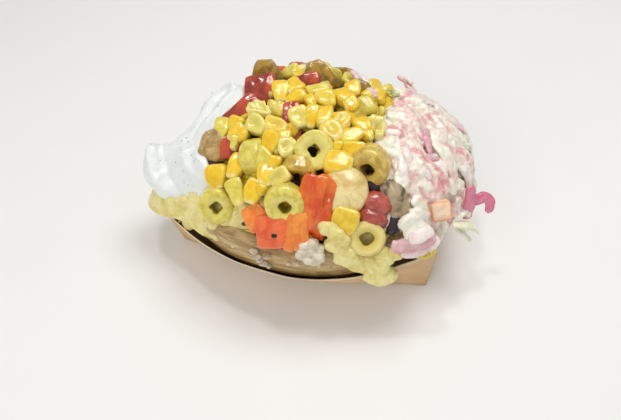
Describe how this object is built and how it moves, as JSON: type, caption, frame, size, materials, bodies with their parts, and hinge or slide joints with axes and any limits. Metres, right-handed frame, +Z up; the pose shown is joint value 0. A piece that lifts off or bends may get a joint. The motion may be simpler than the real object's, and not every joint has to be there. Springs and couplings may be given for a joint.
{
  "type": "loaded baked potato",
  "caption": "Baked potato split open in a kraft paper tray, its mashed flesh heaped with corn, olive rings, peppers, pickles and mushrooms between yoghurt and cabbage slaw.",
  "frame": {"origin": "middle of the paper tray's flat base, on the face that it rests on", "axes": "+X along the tray towards the slaw end, +Y towards the tray's back, +Z up"},
  "size_m": [0.1867, 0.1398, 0.0983],
  "materials": {
    "kraft_paper": "plain brown kraft, pale cut edge",
    "potato_skin": "baked, tan brown, streaked, slightly shiny",
    "mashed_potato": "moist, yellow-green cream, lumpy",
    "yoghurt": "white, soft sheen, fine herb specks",
    "slaw": "cream-white dressing over pink shreds",
    "sweetcorn": "wet bright yellow",
    "green_olive": "wet, pale yellow-green",
    "orange_pepper": "wet, wrinkled, roasted",
    "red_pepper": "wet, deep red",
    "pickle": "wet, brown-olive",
    "green_pepper": "wet, translucent green-yellow",
    "mushroom": "moist cream to grey-brown",
    "sausage": "wet dark red",
    "dark_fruit": "wet, nearly black purple",
    "cheese": "pearly grey-white",
    "carrot": "moist pale orange",
    "cabbage": "moist pink with white core"
  },
  "bodies": {
    "root": {"tray": "kraft_paper", "potato_jacket": "potato_skin", "mash": "mashed_potato", "yoghurt": "yoghurt", "slaw": "slaw", "topping_heap": "sweetcorn", "corn_kernel_large": "sweetcorn", "olive_ring_1": "green_olive", "olive_ring_2": "green_olive", "olive_ring_3": "green_olive", "olive_ring_4": "green_olive", "olive_ring_5": "green_olive", "olive_ring_6": "green_olive", "olive_ring_7": "green_olive", "olive_ring_8": "green_olive", "pepper_orange_1": "orange_pepper", "pepper_orange_2": "orange_pepper", "pepper_orange_3": "orange_pepper", "pepper_orange_4": "orange_pepper", "pepper_orange_5": "orange_pepper", "pepper_red_1": "red_pepper", "pepper_red_2": "red_pepper", "pepper_red_3": "red_pepper", "pepper_red_4": "red_pepper", "pepper_red_5": "red_pepper", "pepper_red_6": "red_pepper", "pickle_1": "pickle", "pickle_2": "pickle", "pickle_3": "green_pepper", "pickle_4": "green_pepper", "pickle_5": "pickle", "pickle_6": "pickle", "mushroom_1": "mushroom", "mushroom_2": "mushroom", "mushroom_3": "mushroom", "mushroom_4": "mushroom", "sausage_piece": "sausage", "black_olive": "dark_fruit", "bean_1": "dark_fruit", "bean_2": "dark_fruit", "cheese_piece": "cheese", "carrot_cube": "carrot", "cabbage_strip_1": "cabbage", "cabbage_strip_2": "cabbage", "cabbage_leaf": "cabbage"}
  },
  "joints": []
}
